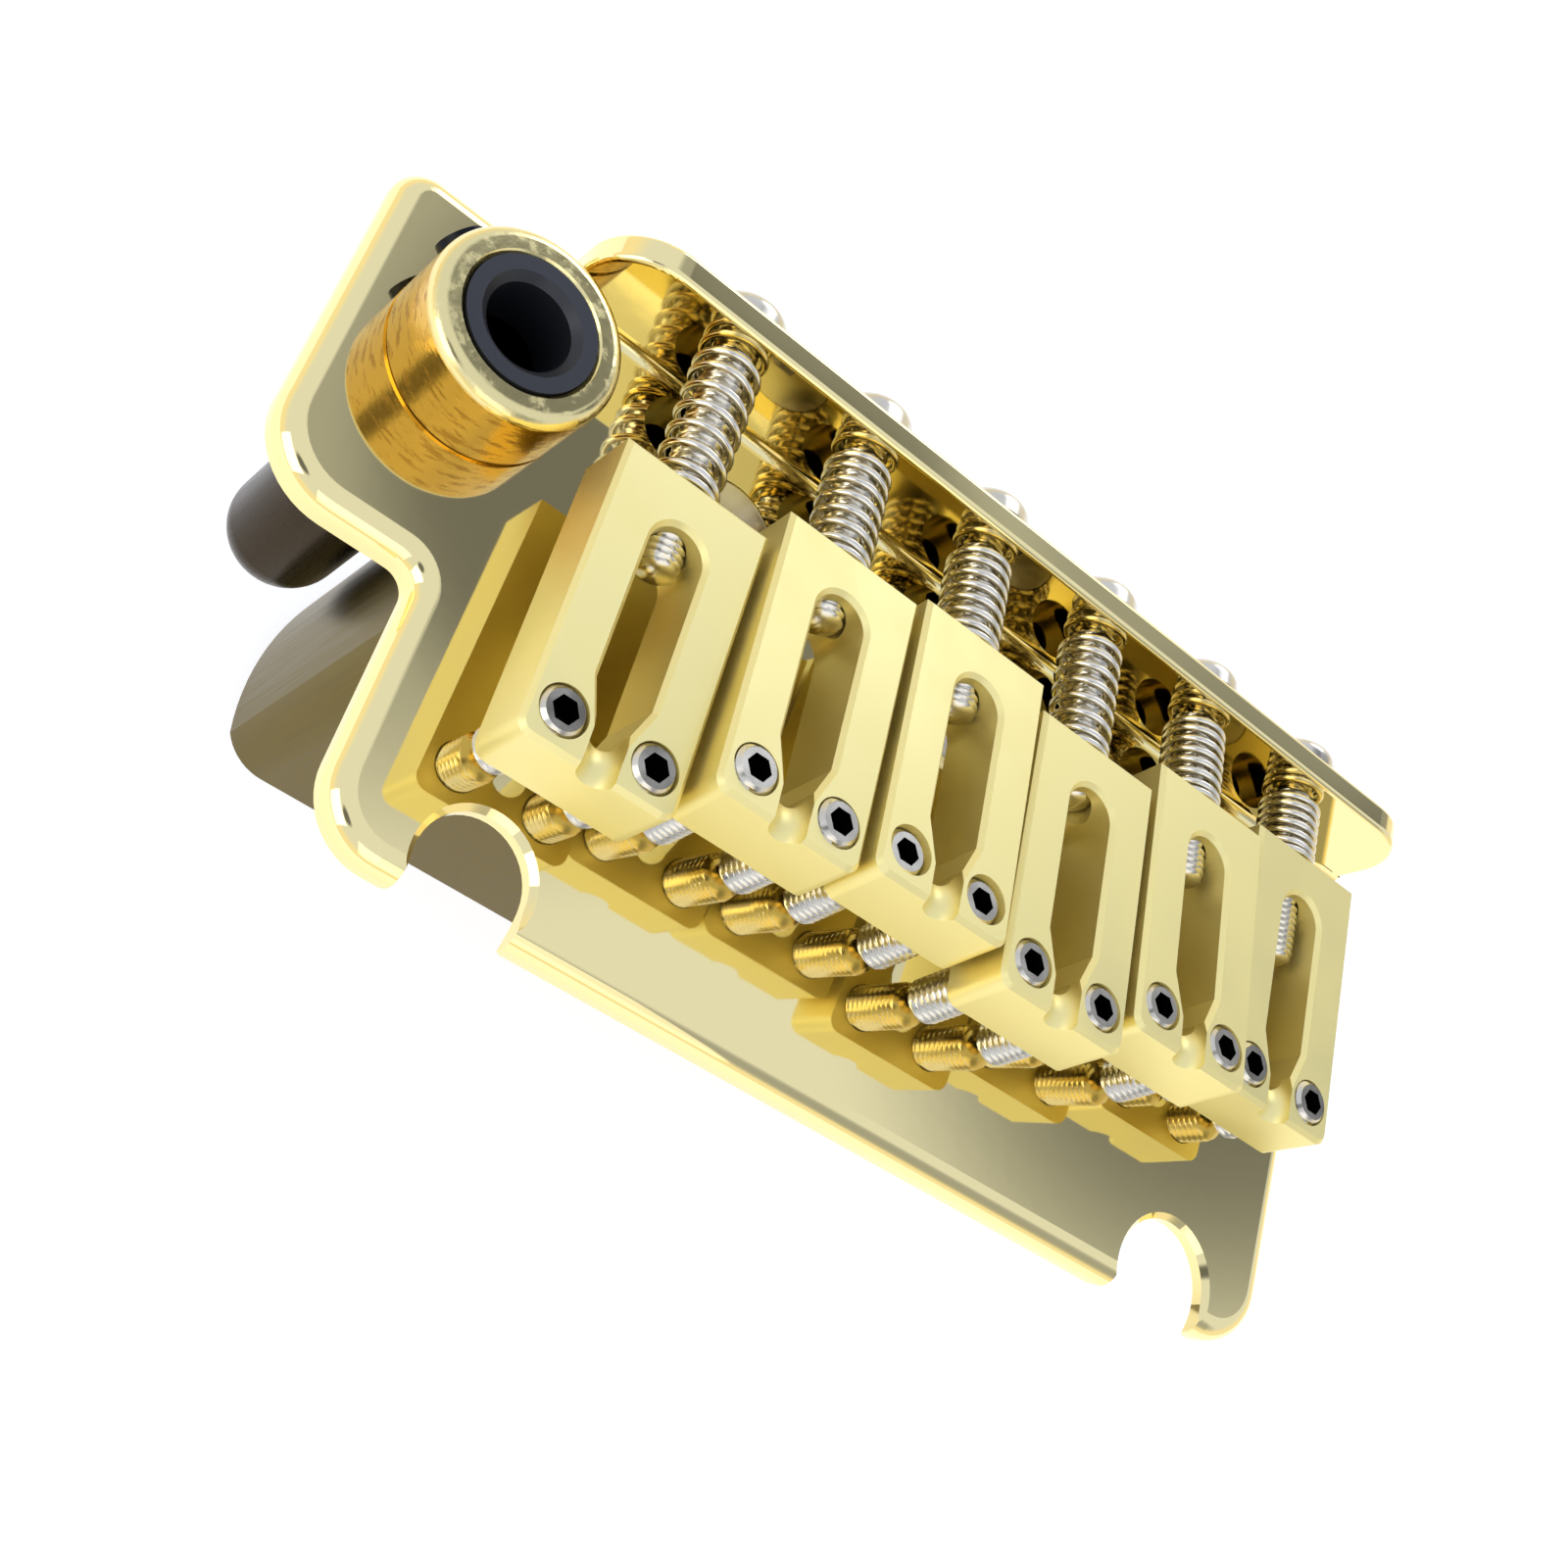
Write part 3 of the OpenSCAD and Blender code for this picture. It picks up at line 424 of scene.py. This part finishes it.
# The head is a drum whose upper half narrows along a quarter of an oval
shoulder, crown_width = 0.45, 0.6
drum = add_node(cross_head, "GeometryNodeMeshCylinder", {
    "Vertices": 40, "Side Segments": 12, "Radius": 1.0, "Depth": 1.0})
x, y, z = point_xyz(cross_head)
share = maths(cross_head, "ADD", z, 0.5)
above = carry(cross_head, share, shoulder, 1.0, 0.0, 1.0)
rest = maths(cross_head, "SUBTRACT", 1.0, maths(cross_head, "POWER", above, 2.0))
narrow = carry(cross_head, maths(cross_head, "SQRT", rest), 0.0, 1.0, crown_width, 1.0)
wide = maths(cross_head, "MULTIPLY", narrow, given["Head Radius"])
moved = vector(cross_head, maths(cross_head, "MULTIPLY", x, wide), maths(cross_head, "MULTIPLY", y, wide),
               maths(cross_head, "MULTIPLY", share, given["Head Height"]))
head = add_node(cross_head, "GeometryNodeSetPosition", {"Geometry": drum.outputs["Mesh"], "Position": moved})
# The cross recess is cut by two bars at right angles
bar_height = maths(cross_head, "MULTIPLY", given["Recess Depth"], 2.0)
bars = []
for first, second in (("Recess Length", "Recess Width"), ("Recess Width", "Recess Length")):
    bar = add_node(cross_head, "GeometryNodeMeshCube", {
        "Size": vector(cross_head, given[first], given[second], bar_height)})
    bars.append(add_node(cross_head, "GeometryNodeTransform", {
        "Geometry": bar.outputs["Mesh"], "Translation": vector(cross_head, z=given["Head Height"])}))
joined = add_node(cross_head, "GeometryNodeMeshBoolean", {
    "operation": "UNION", "solver": "EXACT", "Mesh 2": hung.outputs[0]})
cross_head.links.new(head.outputs[0], joined.inputs["Mesh 2"])
recessed = add_node(cross_head, "GeometryNodeMeshBoolean", {
    "operation": "DIFFERENCE", "solver": "EXACT", "Mesh 1": joined.outputs["Mesh"],
    "Mesh 2": bars[0].outputs[0]})
cross_head.links.new(bars[1].outputs[0], recessed.inputs["Mesh 2"])
add_node(cross_head, "NodeGroupOutput", {0: dressed(cross_head, recessed.outputs["Mesh"], screw_steel)})

for string in strings:
    line, tilt = string_frame(string)
    seat = flange_thickness / 2 / cos(tilt) + head_radius * tan(abs(tilt)) + head_gap
    place = line @ Matrix.Translation((0, seat, 0)) @ Matrix.Rotation(-pi / 2, 4, "X")
    piece = formed(f"intonation_thread_{string}", cross_head, {"Length": screw_length[string - 1]}, place)
    node = f"intonation_screw_{string}"
    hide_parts(node)
    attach(piece, body_of_node[node])

# Intonation springs
# Round spring wire wound into a loose coil with one closed turn at each end, squeezed
# between the flange and each saddle so that the saddle can't rattle forward.
wire = 0.0005
coil_radius = 0.002
seat_gap = 0.0001
saddle_length = 0.020
coil_count = [8.0, 8.0, 8.0, 8.0, 8.0, 7.0]
wire_sharp = 60

# Bright nickel plate on drawn wire: warm grey and glossy, duller in spots 0.8 mm long
spring_steel, tree = new_finish("nickel_plated_spring_wire")
end_finish(tree, "#E2DAC4", carry(tree, noise(tree, 0.0008, 3.0), noise_low, noise_high, 0.1, 0.2))

coil, given = new_tree("wound_spring", {
    "Wire": wire, "Radius": coil_radius, "Length": 0.01, "Coils": 8.0, "Closed": 1.0})
# The path: closed turns one wire apart at both ends, and the rest spread between them
spiral = add_node(coil, "GeometryNodeCurveSpiral", {
    "Resolution": 26, "Height": 1.0, "Rotations": given["Coils"],
    "Start Radius": given["Radius"], "End Radius": given["Radius"]})
x, y, z = point_xyz(coil)
turn = maths(coil, "MULTIPLY", z, given["Coils"])
first = maths(coil, "MINIMUM", turn, given["Closed"])
beyond = maths(coil, "SUBTRACT", given["Coils"], given["Closed"])
last = maths(coil, "MAXIMUM", maths(coil, "SUBTRACT", turn, beyond), 0.0)
closed = maths(coil, "ADD", first, last)
closed_height = maths(coil, "MULTIPLY", closed, given["Wire"])
open_turns = maths(coil, "SUBTRACT", turn, closed)
ends = maths(coil, "MULTIPLY", given["Closed"], 2.0)
open_coils = maths(coil, "SUBTRACT", given["Coils"], ends)
between = maths(coil, "SUBTRACT", given["Length"], maths(coil, "MULTIPLY", ends, given["Wire"]))
clear = maths(coil, "SUBTRACT", between, given["Wire"])
pitch = maths(coil, "DIVIDE", clear, open_coils)
climb = maths(coil, "ADD", closed_height, maths(coil, "MULTIPLY", open_turns, pitch))
half_wire = maths(coil, "MULTIPLY", given["Wire"], 0.5)
path = add_node(coil, "GeometryNodeSetPosition", {
    "Geometry": spiral.outputs[0], "Position": vector(coil, x, y, maths(coil, "ADD", climb, half_wire))})
round_wire = add_node(coil, "GeometryNodeCurvePrimitiveCircle", {"Resolution": 10, "Radius": half_wire})
wound = add_node(coil, "GeometryNodeCurveToMesh", {
    "Fill Caps": True, "Curve": path.outputs[0], "Profile Curve": round_wire.outputs[0]})
add_node(coil, "NodeGroupOutput", {0: dressed(coil, wound.outputs[0], spring_steel)})

for string in strings:
    line, tilt = string_frame(string)
    start = flange_thickness / 2 / cos(tilt) + (coil_radius + wire / 2) * tan(abs(tilt)) + seat_gap
    length = saddle_reach[string - 1] - saddle_length - start - seat_gap
    place = line @ Matrix.Translation((0, -start, 0)) @ Matrix.Rotation(pi / 2, 4, "X")
    piece = formed(f"wound_spring_{string}", coil, {"Length": length, "Coils": coil_count[string - 1]},
                   place, wire_sharp)
    node = f"intonation_spring_{string}"
    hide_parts(node)
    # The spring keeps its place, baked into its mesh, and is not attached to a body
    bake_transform(piece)

# Studio
# A white sweep under the part, a room round it that is warm at the horizon and cool
# overhead, with seven darker places and a bright one that the polished plate mirrors, and
# two soft lamps.
floor_level = packed_box[0][2] - 0.0001
floor_corners = ((-2, -2), (2, -2), (2, 2), (-2, 2))
floor_mesh = bpy.data.meshes.new("floor")
floor_mesh.from_pydata([(x, y, floor_level) for x, y in floor_corners], [], [(0, 1, 2, 3)])
floor = bpy.data.objects.new("floor", floor_mesh)
bpy.context.scene.collection.objects.link(floor)
# White paper that glows a little to the eye and in reflections, and still takes a shadow
paper_glow = 0.68
paper, tree = new_finish("white_paper")
seen = add_node(tree, "ShaderNodeLightPath").outputs
shown = maths(tree, "MAXIMUM", seen["Is Camera Ray"], seen["Is Glossy Ray"])
plain = maths(tree, "MAXIMUM", shown, seen["Is Transmission Ray"])
glow = add_node(tree, "ShaderNodeEmission", {
    "Color": (1, 1, 1, 1), "Strength": maths(tree, "MULTIPLY", plain, paper_glow)})
matt = add_node(tree, "ShaderNodeBsdfDiffuse", {"Color": linear("#C8C8C8")})
both = add_node(tree, "ShaderNodeAddShader", {0: glow.outputs[0], 1: matt.outputs[0]})
add_node(tree, "ShaderNodeOutputMaterial", {"Surface": both.outputs[0]})
floor.data.materials.append(paper)

room = bpy.data.worlds.new("studio_room")
bpy.context.scene.world = room
room.use_nodes = True
tree = room.node_tree
tree.nodes.clear()
towards = add_node(tree, "ShaderNodeTexCoord").outputs["Generated"]
up = add_node(tree, "ShaderNodeSeparateXYZ", {0: towards}).outputs[2]
horizon_top, overhead_start, overhead_strength = 0.15, 0.5, 1.13
high = carry(tree, up, horizon_top, overhead_start, 0.0, 1.0, "SMOOTHSTEP")
colour = mixed(tree, high, "#FFF8E8", "#DBE4FF")
light = carry(tree, high, 0.0, 1.0, 1.0, overhead_strength)
# Which way each place lies, how many degrees out it starts and ends to fade, and its
# strength. The first two darken the wing and the plate beside it, the third the plate's
# bass end, the next two the far saddles, the sixth the flange and the seventh the collar.
# The last one is bright and lights the tops of the saddles.
places = (((0.31, 0.585, 0.75), 6.8, 10.6, 0.42),
          ((0.22, 0.60, 0.77), 9, 17, 0.5),
          ((0.652, 0.418, 0.633), 0.5, 12, 0.22),
          ((0.53, 0.60, 0.60), 2, 8, 0.45),
          ((0.74, 0.50, 0.44), 4, 13, 0.4),
          ((0.57, -0.62, 0.54), 6, 24, 0.5),
          ((-0.47, -0.37, 0.80), 5, 12, 0.2),
          ((0.30, 0.82, 0.48), 6, 18, 3.9))
for middle, inner, outer, strength in places:
    off = add_node(tree, "ShaderNodeVectorMath", {
        "operation": "DOT_PRODUCT", 0: towards, 1: Vector(middle).normalized()}).outputs["Value"]
    patch = carry(tree, off, cos(radians(outer)), cos(radians(inner)), 1.0, strength, "SMOOTHSTEP")
    light = maths(tree, "MULTIPLY", light, patch)
sky = add_node(tree, "ShaderNodeBackground", {"Color": colour, "Strength": light})
add_node(tree, "ShaderNodeOutputWorld", {"Surface": sky.outputs[0]})

lamp_size = 0.5
lamp_aim = Vector((0, 0.018, 0))
for name, place, power in (("left_lamp", (-0.62, -0.30, 0.28), 1.3),
                           ("front_lamp", (0.10, -0.60, 0.35), 0.5)):
    lamp = bpy.data.objects.new(name, bpy.data.lights.new(name, "AREA"))
    bpy.context.scene.collection.objects.link(lamp)
    lamp.data.size = lamp_size
    lamp.data.energy = power
    lamp.location = place
    lamp.rotation_euler = (lamp_aim - lamp.location).to_track_quat("-Z", "Y").to_euler()
